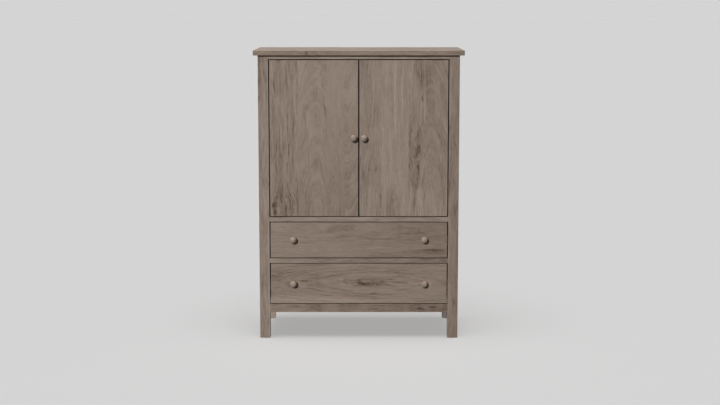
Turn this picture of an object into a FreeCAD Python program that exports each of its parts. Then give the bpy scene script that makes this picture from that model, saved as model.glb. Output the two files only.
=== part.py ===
import FreeCAD, Part
import glob
import math
import os

from FreeCAD import Vector as V

# Computer armoire: post-and-panel case on four legs, two inset slab doors on
# pivot hinges over two inset drawers, and a workstation compartment behind the
# doors with a keyboard tray, a monitor shelf and an adjustable upper shelf.
# Millimetres. X to the right, Y to the back, Z up. Origin on the floor, under
# the middle of the case.

# ---------------------------------------------------------------- dimensions
TOP_W, TOP_D, TOP_T = 1016.0, 501.0, 23.8   # top panel
HEIGHT = 1412.0                             # floor to top face
BODY_W = 972.0                              # across the posts
POST = 50.0                                 # square post
FACE_Y = -231.0                             # front plane: posts, rails, doors, drawers
BACK_Y = 255.0                              # back plane of the posts
TOP_Y0 = -246.0                             # front edge of the top
GLIDE_H = 2.5                               # nylon glide under each leg

Z_LEG = 131.0                               # floor to the bottom rail
Z_BR = (131.0, 171.0)                       # bottom rail
Z_LD = (175.2, 372.5)                       # lower drawer front
Z_DR = (376.0, 399.0)                       # rail between the drawers
Z_UD = (403.3, 576.7)                       # upper drawer front
Z_MR = (581.0, 603.5)                       # rail between doors and drawers
Z_DOOR = (607.8, 1365.4)                    # doors
Z_TR = (1370.4, 1388.2)                     # top rail
SIDE_GAP = 5.0                              # door or drawer to post
MID_GAP = 6.0                               # between the two doors
DOOR_T = 20.0
RAIL_D = 50.0                               # depth of the flat front rails
APRON_T = 22.0                              # thickness of the upright rails
SIDE_RAIL_H = 60.0
PANEL_T = 8.0                               # side panel
PANEL_SET = 8.0                             # side panel set back from the post's face
GROOVE = 8.0
TENON = 24.0
BACK_T = 6.0

PIV_DX, PIV_DY = 9.0, 7.0                   # door pivot from the door's edge and face
LEAF_L, LEAF_W, LEAF_T = 50.0, 10.0, 3.0    # pivot hinge leaf
PIN_R, PIN_PLAY = 2.5, 0.05
COLLAR_R = 4.5

KNOB_D, KNOB_P = 33.5, 28.0                 # knob: diameter, projection
KNOB_RIM_H, KNOB_RIM_R = 14.0, 11.5         # knob: height of its widest line, rounding of the rim
KNOB_TENON_R, KNOB_TENON_L = 4.7, 17.0
DOOR_KNOB_X, DRAWER_KNOB_X = 25.0, 320.0
DOOR_KNOB_Z, U_KNOB_Z, L_KNOB_Z = 990.0, 492.5, 273.5

SLIDE_T = 13.0                              # side space of a runner
BOX_HALF = BODY_W / 2 - POST - SLIDE_T      # half width of a drawer box, outside
BOX_T = 13.0                                # drawer side thickness
BOX_Y = (FACE_Y + 20.0, BACK_Y - 56.0)      # drawer box, front to back
BOX_FRONT_T = 16.0
BOX_BOTTOM_T = 6.0
TAIL_L = 10.0                               # dovetail length
U_BOX_Z = (418.0, 548.0)
L_BOX_Z = (190.0, 343.0)
SLIDE_Y = (FACE_Y + 28.0, FACE_Y + 428.0)   # drawer runners, 400 long
U_SLIDE_Z, L_SLIDE_Z, T_SLIDE_Z = 483.0, 266.0, 630.0
TRAY_Y = (FACE_Y + 84.0, BACK_Y - 60.0)     # tray panel, behind its front rail
TRAY_SLIDE_Y = (FACE_Y + 86.0, BACK_Y - 60.0)

FLOOR_T = 18.0
SHELF_T = 18.0
SHELF_Y = (FACE_Y + 36.0, BACK_Y - 25.0)
SHELF_Z = (750.0, 1166.0)                   # undersides: monitor shelf, upper shelf
PIN_Y = (FACE_Y + 42.0, BACK_Y - 42.0)
PIN_Z0, PIN_PITCH = 747.5, 32.0

ANCHOR_X, ANCHOR_Z, ANCHOR_R = 203.2, 1360.0, 2.75   # holes for wall screws
PORT_X, PORT_Z, PORT_R = 280.0, 850.0, 30.0          # cable ports

HALF = BODY_W / 2                           # 486
INNER = HALF - POST                         # 436, inner plane of the posts
PANEL_IN = HALF - PANEL_SET - PANEL_T       # 470, inner face of the side panel

NODES = {}


# ------------------------------------------------------------------- helpers
def box(x0, x1, y0, y1, z0, z1):
    x0, x1 = sorted((x0, x1))
    y0, y1 = sorted((y0, y1))
    z0, z1 = sorted((z0, z1))
    return Part.makeBox(x1 - x0, y1 - y0, z1 - z0, V(x0, y0, z0))


def cyl(r, h, base, axis):
    return Part.makeCylinder(r, h, V(*base), V(*axis))


def run(edge):
    """The axis an edge runs along, or None."""
    a, b = edge.Vertexes[0].Point, edge.Vertexes[-1].Point
    d = b - a
    for i, k in enumerate("xyz"):
        if abs(abs(d[i]) - d.Length) < 1e-6 and d.Length > 1e-6:
            return k
    return None


def ease(shape, r, pick):
    """Rounds the edges that pick(edge, middle point, direction) accepts."""
    es = [e for e in shape.Edges if len(e.Vertexes) == 2 and pick(e, e.CenterOfMass, run(e))]
    return shape.makeFillet(r, es) if es else shape


def chamfer(shape, r, pick):
    es = [e for e in shape.Edges if len(e.Vertexes) == 2 and pick(e, e.CenterOfMass, run(e))]
    return shape.makeChamfer(r, es) if es else shape


def board(x0, x1, y0, y1, z0, z1, r, along=None):
    """A board with eased edges: all of them, or only those along one axis."""
    b = box(x0, x1, y0, y1, z0, z1)
    return ease(b, r, lambda e, m, d: along is None or d in along)


def cut(a, *bs):
    return a.cut(list(bs)) if bs else a


def fuse(a, *bs):
    return a.fuse(list(bs)).removeSplitter() if bs else a


def extrude(points, normal):
    w = Part.makePolygon([V(*p) for p in points + points[:1]])
    return Part.Face(w).extrude(V(*normal))


def mirror_x(shape):
    return shape.mirror(V(0, 0, 0), V(1, 0, 0))


def put(name, *solids):
    flat = []
    for s in solids:
        flat += s.Solids
    if not flat:
        raise RuntimeError("no solid in " + name)
    for s in flat:
        if not s.isValid() or s.Volume <= 0:
            raise RuntimeError("bad solid in " + name)
    NODES[name] = flat


def screw(head_r, head_h, shank_r, shank_l, base, axis):
    """Pan-head screw: the head's seat is at base, the head stands towards -axis, the shank runs along axis."""
    a = V(*axis)
    b = V(*base)
    h = Part.makeCylinder(head_r, head_h, b - a * head_h, a)
    rim = [e for e in h.Edges if len(e.Vertexes) == 1 and abs((e.CenterOfMass - (b - a * head_h)).dot(a)) < 1e-6]
    h = h.makeFillet(min(head_h, head_r) * 0.45, rim)
    s = Part.makeCylinder(shank_r, shank_l, b, a)
    # cross recess
    side = V(1, 0, 0) if abs(a.x) < 0.5 else V(0, 1, 0)
    other = a.cross(side)
    rec = []
    for u, w in ((side, other), (other, side)):
        c = b - a * head_h
        p = [c + u * (head_r * 0.55) + w * 0.45, c - u * (head_r * 0.55) + w * 0.45,
             c - u * (head_r * 0.55) - w * 0.45, c + u * (head_r * 0.55) - w * 0.45]
        f = Part.Face(Part.makePolygon(p + p[:1]))
        rec.append(f.extrude(a * (head_h * 0.55)))
    return h.fuse(s).removeSplitter().cut(rec)


def csk(head_r, head_h, shank_r, shank_l, base, axis, play=0.0):
    """Countersunk screw whose head is flush at base, running along axis; with play, the plain hole for it."""
    a, b = V(*axis), V(*base)
    c = Part.makeCone(head_r + play, shank_r + play, head_h, b, a)
    s = c.fuse(Part.makeCylinder(shank_r + play, shank_l + (0.5 if play else 0.0), b, a)).removeSplitter()
    if play:
        return s
    side = V(1, 0, 0) if abs(a.x) < 0.5 else V(0, 1, 0)
    other = a.cross(side)
    rec = []
    for u, w in ((side, other), (other, side)):
        p = [b + u * (head_r * 0.5) + w * 0.35, b - u * (head_r * 0.5) + w * 0.35,
             b - u * (head_r * 0.5) - w * 0.35, b + u * (head_r * 0.5) - w * 0.35]
        rec.append(Part.Face(Part.makePolygon(p + p[:1])).extrude(a * (head_h * 0.6)))
    return s.cut(rec)


SCREWS = []          # case screws
PILOTS = {}          # node -> holes to cut for them


def add_screw(nodes, head_r, head_h, shank_r, shank_l, base, axis):
    SCREWS.append(screw(head_r, head_h, shank_r, shank_l, base, axis))
    hole = Part.makeCylinder(shank_r + 0.05, shank_l + 0.5, V(*base), V(*axis))
    for n in nodes:
        PILOTS.setdefault(n, []).append(hole)


# ----------------------------------------------------------------- top panel
top = box(-TOP_W / 2, TOP_W / 2, TOP_Y0, TOP_Y0 + TOP_D, HEIGHT - TOP_T, HEIGHT)
top = ease(top, 2.0, lambda e, m, d: True)
NODES_RAW = {"top_panel": top}

# -------------------------------------------------------------------- tenons
# name -> list of tenon boxes; each is fused to its rail and cut from its posts.
TENONS = {}


def tenon_x(rail, y0, y1, z0, z1):
    """Tenons at both ends of a rail that runs along X between the posts."""
    for s in (-1, 1):
        TENONS.setdefault(rail, []).append(box(s * INNER, s * (INNER + TENON), y0, y1, z0, z1))


def tenon_y(rail, side, z0, z1):
    """Tenons at both ends of a side rail that runs along Y between the posts."""
    x0, x1 = side * (HALF - 16.0), side * (HALF - 6.0)
    TENONS.setdefault(rail, []).append(box(x0, x1, FACE_Y + POST - 22, FACE_Y + POST, z0, z1))
    TENONS.setdefault(rail, []).append(box(x0, x1, BACK_Y - POST, BACK_Y - POST + 22, z0, z1))


tenon_x("front_top_rail", FACE_Y + 10, FACE_Y + 40, Z_TR[0] + 5, Z_TR[1] - 4)
tenon_x("front_middle_rail", FACE_Y + 10, FACE_Y + 40, Z_MR[0] + 6, Z_MR[1] - 6)
tenon_x("front_drawer_rail", FACE_Y + 10, FACE_Y + 40, Z_DR[0] + 6, Z_DR[1] - 6)
tenon_x("front_bottom_rail", FACE_Y + 6, FACE_Y + 16, Z_BR[0] + 6, Z_BR[1] - 6)
for nm, z0 in (("back_top_rail", Z_TR[1] - SIDE_RAIL_H), ("back_bottom_rail", Z_LEG)):
    tenon_x(nm, BACK_Y - 24.0, BACK_Y - 14.0, z0 + 10, z0 + SIDE_RAIL_H - 10)
for side, word in ((-1, "left"), (1, "right")):
    tenon_y(word + "_side_top_rail", side, Z_TR[1] - SIDE_RAIL_H + 10, Z_TR[1] - 10)
    tenon_y(word + "_side_bottom_rail", side, Z_LEG + 10, Z_LEG + SIDE_RAIL_H - 10)

# --------------------------------------------------------------- front rails
front_y = FACE_Y
TINY = 0.6


def flat_rail(z):
    b = box(-INNER, INNER, front_y, front_y + RAIL_D, *z)
    return ease(b, TINY, lambda e, m, d: d == "x")


rails = {
    "front_top_rail": flat_rail(Z_TR),
    "front_middle_rail": flat_rail(Z_MR),
    "front_drawer_rail": flat_rail(Z_DR),
    "front_bottom_rail": ease(box(-INNER, INNER, front_y, front_y + APRON_T, *Z_BR), 1.0, lambda e, m, d: d == "x"),
    "back_top_rail": ease(box(-INNER, INNER, BACK_Y - 30.0, BACK_Y - 8.0, Z_TR[1] - SIDE_RAIL_H, Z_TR[1]), TINY, lambda e, m, d: d == "x"),
    "back_bottom_rail": ease(box(-INNER, INNER, BACK_Y - 30.0, BACK_Y - 8.0, Z_LEG, Z_LEG + SIDE_RAIL_H), 1.0, lambda e, m, d: d == "x"),
}
for side, word in ((-1, "left"), (1, "right")):
    for part, z0 in (("top", Z_TR[1] - SIDE_RAIL_H), ("bottom", Z_LEG)):
        b = box(side * (HALF - APRON_T), side * HALF, FACE_Y + POST, BACK_Y - POST, z0, z0 + SIDE_RAIL_H)
        b = ease(b, 1.0, lambda e, m, d: d == "y")
        rails[f"{word}_side_{part}_rail"] = b
for nm in rails:
    rails[nm] = fuse(rails[nm], *TENONS[nm])

# --------------------------------------------------------------- side panels
pz = (Z_LEG + SIDE_RAIL_H - GROOVE, Z_TR[1] - SIDE_RAIL_H + GROOVE)
py = (FACE_Y + POST - GROOVE, BACK_Y - POST + GROOVE)
panels = {}
for side, word in ((-1, "left"), (1, "right")):
    panels[word] = box(side * PANEL_IN, side * (PANEL_IN + PANEL_T), *py, *pz)
    NODES_RAW[word + "_side_panel"] = panels[word]
    for part in ("top", "bottom"):
        rails[f"{word}_side_{part}_rail"] = rails[f"{word}_side_{part}_rail"].cut(panels[word])

# --------------------------------------------------------------------- posts
holes_z = [PIN_Z0 + PIN_PITCH * k for k in range(-1, 17)]


def post(side, front):
    x0, x1 = side * INNER, side * HALF
    y0, y1 = (FACE_Y, FACE_Y + POST) if front else (BACK_Y - POST, BACK_Y)
    b = box(x0, x1, y0, y1, GLIDE_H, Z_TR[1])
    outer_x = side * HALF
    b = chamfer(b, 1.6, lambda e, m, d: abs(m.z - GLIDE_H) < 1e-6 and d in ("x", "y"))
    b = ease(b, 1.8, lambda e, m, d: d == "z" and abs(m.x - outer_x) < 1e-6)
    b = ease(b, TINY, lambda e, m, d: d == "z" and abs(m.x - side * INNER) < 1e-6)
    tools = []
    for nm, ts in TENONS.items():
        for t in ts:
            if t.BoundBox.intersect(b.BoundBox):
                tools.append(t)
    tools.append(panels["left" if side < 0 else "right"])
    yy = PIN_Y[0] if front else PIN_Y[1]
    for z in holes_z:
        tools.append(cyl(2.55, 13.0, (side * INNER, yy, z), (side, 0, 0)))
    # nail of the glide
    tools.append(cyl(2.05, 18.5, ((x0 + x1) / 2, (y0 + y1) / 2, GLIDE_H), (0, 0, 1)))
    if not front:
        # rabbet for the back panel
        tools.append(box(side * INNER, side * (INNER + 10), BACK_Y - 8.0, BACK_Y + 1, Z_LEG, 1386.0))
    return b.cut(tools)


for side, word in ((-1, "left"), (1, "right")):
    NODES_RAW[f"front_{word}_post"] = post(side, True)
    NODES_RAW[f"rear_{word}_post"] = post(side, False)

# ---------------------------------------------------------------- leg glides
glides = []
for sx in (-1, 1):
    for yy in (FACE_Y + POST / 2, BACK_Y - POST / 2):
        c = (sx * (INNER + POST / 2), yy)
        g = cyl(17.0, GLIDE_H, (*c, 0.0), (0, 0, 1))
        g = g.makeFillet(1.2, [e for e in g.Edges if len(e.Vertexes) == 1 and abs(e.CenterOfMass.z) < 1e-6])
        glides.append(fuse(g, cyl(2.0, 18.0, (*c, GLIDE_H), (0, 0, 1))))
put("leg_glides", *glides)

# ---------------------------------------------------------------- back panel
back = box(-(INNER + 10), INNER + 10, BACK_Y - 8.0, BACK_Y - 8.0 + BACK_T, Z_LEG, 1386.0)
anchor = [cyl(ANCHOR_R, 60.0, (sx * ANCHOR_X, BACK_Y - 35.0, ANCHOR_Z), (0, 1, 0)) for sx in (-1, 1)]
ports = [cyl(PORT_R + 0.1, 30.0, (sx * PORT_X, BACK_Y - 20.0, PORT_Z), (0, 1, 0)) for sx in (-1, 1)]
NODES_RAW["back_panel"] = back.cut(anchor + ports)
rails["back_top_rail"] = rails["back_top_rail"].cut(anchor)
grommets = []
for sx in (-1, 1):
    g = cyl(PORT_R, 14.0, (sx * PORT_X, BACK_Y - 14.0, PORT_Z), (0, 1, 0))
    flange = cyl(36.0, 2.0, (sx * PORT_X, BACK_Y - 2.0, PORT_Z), (0, 1, 0))
    flange = flange.makeFillet(1.2, [e for e in flange.Edges if len(e.Vertexes) == 1 and abs(e.CenterOfMass.y - BACK_Y) < 1e-6])
    g = fuse(g, flange).cut(cyl(27.0, 30.0, (sx * PORT_X, BACK_Y - 20.0, PORT_Z), (0, 1, 0)))
    grommets.append(g)
put("cable_grommets", *grommets)

# --------------------------------------------------- compartment floor, cleats
fl = box(-PANEL_IN, PANEL_IN, FACE_Y + POST, BACK_Y - POST, Z_MR[1] - FLOOR_T, Z_MR[1])
fl = fuse(fl, box(-INNER, INNER, BACK_Y - POST, BACK_Y - 8.0, Z_MR[1] - FLOOR_T, Z_MR[1]))
NODES_RAW["compartment_floor"] = fl

cleats = []
for s in (-1, 1):
    for zc, h in ((L_SLIDE_Z, 60.0), (U_SLIDE_Z, 60.0), (T_SLIDE_Z, 48.0)):
        c = box(s * INNER, s * PANEL_IN, FACE_Y + POST, BACK_Y - POST, zc - h / 2, zc + h / 2)
        cleats.append(ease(c, 1.0, lambda e, m, d: d == "y" and abs(m.x - s * INNER) < 1e-6))
    cleats.append(box(s * 440.0, s * PANEL_IN, FACE_Y + POST, BACK_Y - POST, Z_MR[1] - FLOOR_T - 22.0, Z_MR[1] - FLOOR_T))

# ------------------------------------------------------------------- shelves
ms = box(-434.0, 434.0, *SHELF_Y, SHELF_Z[0], SHELF_Z[0] + SHELF_T)
notch = box(-70.0, 70.0, BACK_Y - 57.0, BACK_Y - 20.0, SHELF_Z[0] - 1, SHELF_Z[0] + SHELF_T + 1)
notch = ease(notch, 14.0, lambda e, m, d: d == "z" and m.y < BACK_Y - 50.0)
ms = ms.cut(notch)
ms = ease(ms, 1.5, lambda e, m, d: d == "x" and abs(m.y - SHELF_Y[0]) < 1e-6)
NODES_RAW["monitor_shelf"] = ms
us = box(-434.0, 434.0, *SHELF_Y, SHELF_Z[1], SHELF_Z[1] + SHELF_T)
us = ease(us, 1.5, lambda e, m, d: d == "x" and abs(m.y - SHELF_Y[0]) < 1e-6)
NODES_RAW["upper_shelf"] = us

pins = []
for z in SHELF_Z:
    for s in (-1, 1):
        for yy in PIN_Y:
            pad = box(s * 424.0, s * INNER, yy - 6, yy + 6, z - 3.0, z)
            pad = ease(pad, 2.5, lambda e, m, d: d == "z" and abs(m.x - s * 424.0) < 1e-6)
            peg = cyl(2.5, 17.0, (s * 431.0, yy, z - 2.5), (s, 0, 0))
            pins.append(fuse(pad, peg))
put("shelf_pins", *pins)

# -------------------------------------------------------------- pivot hinges
PIV_X = INNER - SIDE_GAP - PIV_DX           # 422
PIV_Y = FACE_Y + PIV_DY                     # -224


def leaf(side, z0, z1):
    """Flat leaf with a round end about the pivot, running towards the door's middle."""
    x = side * PIV_X
    bar = box(x, x - side * LEAF_L, PIV_Y - LEAF_W / 2, PIV_Y + LEAF_W / 2, z0, z1)
    bar = ease(bar, 3.0, lambda e, m, d: d == "z" and abs(m.x - (x - side * LEAF_L)) < 1e-6)
    return fuse(bar, cyl(LEAF_W / 2, z1 - z0, (x, PIV_Y, z0), (0, 0, 1)))


case_leaves, case_pockets = [], {"front_top_rail": [], "front_middle_rail": []}
door_leaves, door_pockets = {-1: [], 1: []}, {-1: [], 1: []}
for side in (-1, 1):
    x = side * PIV_X
    # upper hinge
    plate = leaf(side, Z_TR[0], Z_TR[0] + LEAF_T)
    case_pockets["front_top_rail"].append(plate)
    collar = cyl(COLLAR_R, Z_TR[0] - Z_DOOR[1] - 0.1, (x, PIV_Y, Z_DOOR[1] + 0.1), (0, 0, 1))
    pin = cyl(PIN_R, Z_TR[0] - Z_DOOR[1] + LEAF_T - 0.2, (x, PIV_Y, Z_DOOR[1] - LEAF_T + 0.2), (0, 0, 1))
    case_leaves.append(fuse(plate, collar, pin))
    dl = leaf(side, Z_DOOR[1] - LEAF_T, Z_DOOR[1])
    door_pockets[side].append(dl)
    door_leaves[side].append(dl.cut(cyl(PIN_R + PIN_PLAY, 20.0, (x, PIV_Y, Z_DOOR[1] - 10.0), (0, 0, 1))))
    # lower hinge
    plate = leaf(side, Z_MR[1] - LEAF_T, Z_MR[1])
    case_pockets["front_middle_rail"].append(plate)
    collar = cyl(COLLAR_R, Z_DOOR[0] - Z_MR[1] - 0.1, (x, PIV_Y, Z_MR[1]), (0, 0, 1))
    pin = cyl(PIN_R, Z_DOOR[0] - Z_MR[1] + LEAF_T - 0.2, (x, PIV_Y, Z_MR[1]), (0, 0, 1))
    case_leaves.append(fuse(plate, collar, pin))
    dl = leaf(side, Z_DOOR[0], Z_DOOR[0] + LEAF_T)
    door_pockets[side].append(dl)
    door_leaves[side].append(dl.cut(cyl(PIN_R + PIN_PLAY, 20.0, (x, PIV_Y, Z_DOOR[0] - 10.0), (0, 0, 1))))
# two countersunk screws in each leaf
LEAF_SCREW_X = (15.0, 38.0)
LEAF_SCREW = (3.3, 1.8, 1.6, 15.0)
for i, side in enumerate((-1, 1)):
    for up, z, dz, nm in ((True, Z_TR[0], 1, "front_top_rail"), (False, Z_MR[1], -1, "front_middle_rail")):
        k = 2 * i + (0 if up else 1)
        zd, kd = (Z_DOOR[1], 0) if up else (Z_DOOR[0], 1)
        for dx in LEAF_SCREW_X:
            at = (side * (PIV_X - dx), PIV_Y)
            hole = csk(*LEAF_SCREW, (*at, z), (0, 0, dz), 0.05)
            case_leaves[k] = case_leaves[k].cut(hole)
            case_pockets[nm].append(hole)
            case_leaves.append(csk(*LEAF_SCREW, (*at, z), (0, 0, dz)))
            hole = csk(*LEAF_SCREW, (*at, zd), (0, 0, -dz), 0.05)
            door_leaves[side][kd] = door_leaves[side][kd].cut(hole)
            door_pockets[side].append(hole)
            door_leaves[side].append(csk(*LEAF_SCREW, (*at, zd), (0, 0, -dz)))
for nm, ps in case_pockets.items():
    rails[nm] = rails[nm].cut(ps)
put("hinge_case_leaves", *case_leaves)
put("left_door_hinge_leaves", *door_leaves[-1])
put("right_door_hinge_leaves", *door_leaves[1])


# --------------------------------------------------------------------- knobs
def knob(x, z):
    """Turned round knob on a short neck, with a round tenon, standing out of the front plane towards -Y."""
    r = KNOB_D / 2
    p = lambda rr, h: V(rr, -h, 0)
    # domed face about a point on the knob's axis, tangent to the rounded rim; the underside is a quarter round
    q, g = r - KNOB_RIM_R, KNOB_P - KNOB_RIM_H
    rad = (q ** 2 + g ** 2 - KNOB_RIM_R ** 2) / (2 * (g - KNOB_RIM_R))
    c = KNOB_P - rad
    a = math.atan2(q, KNOB_RIM_H - c)
    rim = lambda t: p(q + KNOB_RIM_R * math.sin(t), KNOB_RIM_H + KNOB_RIM_R * math.cos(t))
    face = lambda t: p(rad * math.sin(t), c + rad * math.cos(t))
    es = [
        Part.LineSegment(p(0, -KNOB_TENON_L), p(KNOB_TENON_R, -KNOB_TENON_L)).toShape(),
        Part.LineSegment(p(KNOB_TENON_R, -KNOB_TENON_L), p(KNOB_TENON_R, 0)).toShape(),
        Part.LineSegment(p(KNOB_TENON_R, 0), p(8.8, 0)).toShape(),
        Part.Arc(p(8.8, 0), p(7.3, 3.0), p(8.6, 6.0)).toShape(),
        Part.Arc(p(8.6, 6.0), p(8.75 + 8.0 * math.sqrt(0.5), 14.0 - 8.0 * math.sqrt(0.5)), p(r, KNOB_RIM_H)).toShape(),
        Part.Arc(p(r, KNOB_RIM_H), rim((a + math.pi / 2) / 2), face(a)).toShape(),
        Part.Arc(face(a), face(a / 2), p(0, KNOB_P)).toShape(),
        Part.LineSegment(p(0, KNOB_P), p(0, -KNOB_TENON_L)).toShape(),
    ]
    f = Part.Face(Part.Wire(es))
    s = f.revolve(V(0, 0, 0), V(0, 1, 0), 360)
    s = s.Solids[0] if s.Solids else Part.Solid(s.Shells[0])
    s.translate(V(x, FACE_Y, z))
    return s


def knob_hole(x, z):
    return cyl(KNOB_TENON_R + 0.05, KNOB_TENON_L + 0.5, (x, FACE_Y, z), (0, 1, 0))


# --------------------------------------------------------------------- doors
FRONT_R = 1.3
STRIKE_SCREW = (2.4, 1.0, 1.2, 12.0)
for side, word in ((-1, "left"), (1, "right")):
    d = box(side * MID_GAP / 2, side * (INNER - SIDE_GAP), FACE_Y, FACE_Y + DOOR_T, *Z_DOOR)
    d = ease(d, FRONT_R, lambda e, m, k: True)
    at = (side * 18.0, FACE_Y + DOOR_T + 1.2, 1359.25)
    strike_hole = csk(*STRIKE_SCREW, at, (0, -1, 0), 0.05)
    d = d.cut(door_pockets[side] + [knob_hole(side * DOOR_KNOB_X, DOOR_KNOB_Z), strike_hole])
    NODES_RAW[word + "_door_panel"] = d
    put(word + "_door_knob", knob(side * DOOR_KNOB_X, DOOR_KNOB_Z))
    st = box(side * 8.0, side * 28.0, FACE_Y + DOOR_T, FACE_Y + DOOR_T + 1.2, 1354.5, 1364.0)
    st = ease(st, 2.0, lambda e, m, k: k == "y")
    put(word + "_door_strike_plate", st.cut(strike_hole), csk(*STRIKE_SCREW, at, (0, -1, 0)))

# ---------------------------------------------------------------- door catch
cy0 = FACE_Y + DOOR_T + 1.6
body = box(-32.0, 32.0, cy0 + 1.0, FACE_Y + 42.0, 1354.0, Z_TR[0])
body = ease(body, 1.5, lambda e, m, d: d == "y" and m.z < 1358)
poles = []
for s in (-1, 1):
    for z in (1356.0, 1361.0):
        poles.append(box(s * 9.0, s * 27.0, cy0, cy0 + 2.0, z, z + 2.0))
put("door_catch", fuse(body, *poles))

# --------------------------------------------------------------------- clips
clips = []
zt = Z_TR[1]


def clip_profile(u):
    """Bent strip, in (distance from the rail's inner face, z): one leg in a slot of the rail, one under the top."""
    return [(-10.0, zt - 12.0), (1.6, zt - 12.0), (1.6, zt - 1.6), (22.0, zt - 1.6), (22.0, zt), (0.0, zt), (0.0, zt - 10.4), (-10.0, zt - 10.4)]


for side, word in ((-1, "left"), (1, "right")):
    nm = f"{word}_side_top_rail"
    face = side * (HALF - APRON_T)
    for yc in (FACE_Y + 126.0, BACK_Y - 130.0):
        pts = [(face - side * u, yc - 11.0, z) for u, z in clip_profile(0)]
        c = extrude(pts, (0, 22.0, 0))
        rails[nm] = rails[nm].cut(box(face, face + side * 10.5, yc - 11.5, yc + 11.5, zt - 12.3, zt - 10.0))
        hx = face - side * 12.0
        c = c.cut(cyl(2.3, 10, (hx, yc, zt - 5), (0, 0, 1)))
        clips.append(c)
        add_screw(["top_panel"], 4.2, 2.2, 2.0, 14.0, (hx, yc, zt - 1.6), (0, 0, 1))
for xc in (-230.0, 230.0):
    pts = [(xc - 11.0, BACK_Y - 30.0 - u, z) for u, z in clip_profile(0)]
    c = extrude(pts, (22.0, 0, 0))
    rails["back_top_rail"] = rails["back_top_rail"].cut(box(xc - 11.5, xc + 11.5, BACK_Y - 30.0, BACK_Y - 19.5, zt - 12.3, zt - 10.0))
    c = c.cut(cyl(2.3, 10, (xc, BACK_Y - 42.0, zt - 5), (0, 0, 1)))
    clips.append(c)
    add_screw(["top_panel"], 4.2, 2.2, 2.0, 14.0, (xc, BACK_Y - 42.0, zt - 1.6), (0, 0, 1))
put("top_clips", *clips)


# ------------------------------------------------------------------- runners
# Ball-bearing runners seen along Y: s runs from the case wall (0) to the drawer (SLIDE_T), z from the middle.
def channel(h, s0, s1, lip, t=1.2, web_at_case=True):
    """C channel of half height h from s0 to s1; the web is at the case side or at the drawer side; lip turns the flange ends inward."""
    if web_at_case:
        a, b, sg = s0, s1, 1
    else:
        a, b, sg = s1, s0, -1
    p = [(a, -h), (b, -h)]
    if lip:
        p += [(b, -h + lip), (b - sg * t, -h + lip), (b - sg * t, -h + t)]
    else:
        p += [(b, -h + t)]
    p += [(a + sg * t, -h + t), (a + sg * t, h - t)]
    if lip:
        p += [(b - sg * t, h - t), (b - sg * t, h - lip), (b, h - lip), (b, h)]
    else:
        p += [(b, h - t), (b, h)]
    p += [(a, h)]
    return p


def runner(side, profile, zc, y0, y1):
    pts = [(side * (INNER - s), y0, zc + z) for s, z in profile]
    return extrude(pts, (0, y1 - y0, 0))


def screwed_runner(side, profile, zc, y0, y1, ys):
    """An inner member with the pan-head screws that fix its web to the drawer or tray, and the holes for them."""
    m = runner(side, profile, zc, y0, y1)
    x = side * (INNER - SLIDE_T + 1.2)
    out, pilots = [], []
    for y in ys:
        m = m.cut(cyl(1.9, 6.0, (x + side * 3.0, y, zc), (-side, 0, 0)))
        out.append(screw(3.2, 1.2, 1.8, 10.0, (x, y, zc), (-side, 0, 0)))
        pilots.append(cyl(1.85, 10.5, (x, y, zc), (-side, 0, 0)))
    return [m] + out, pilots


CASE_P = channel(22.5, 0.0, 11.4, 4.0)
MID_P = channel(17.6, 3.2, 10.2, 3.0)
IN_P = channel(13.2, 6.2, SLIDE_T, 0.0, web_at_case=False)
T_CASE_P = channel(17.5, 0.0, 11.4, 3.6)
T_IN_P = channel(12.0, 4.0, SLIDE_T, 0.0, web_at_case=False)

case_members = []
for zc, prof, yy in ((U_SLIDE_Z, CASE_P, SLIDE_Y), (L_SLIDE_Z, CASE_P, SLIDE_Y), (T_SLIDE_Z, T_CASE_P, TRAY_SLIDE_Y)):
    for s in (-1, 1):
        m = runner(s, prof, zc, *yy)
        ends = (yy[0] + 60.0, yy[1] - 60.0)
        for ys in ends:
            m = m.cut(cyl(2.4, 6.0, (s * (INNER - 3.0), ys, zc), (s, 0, 0)))
            add_screw(["inner_cleats"], 3.6, 1.3, 2.0, 16.0, (s * (INNER - 1.2), ys, zc), (s, 0, 0))
        case_members.append(m)
put("runner_case_members", *case_members)


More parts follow.
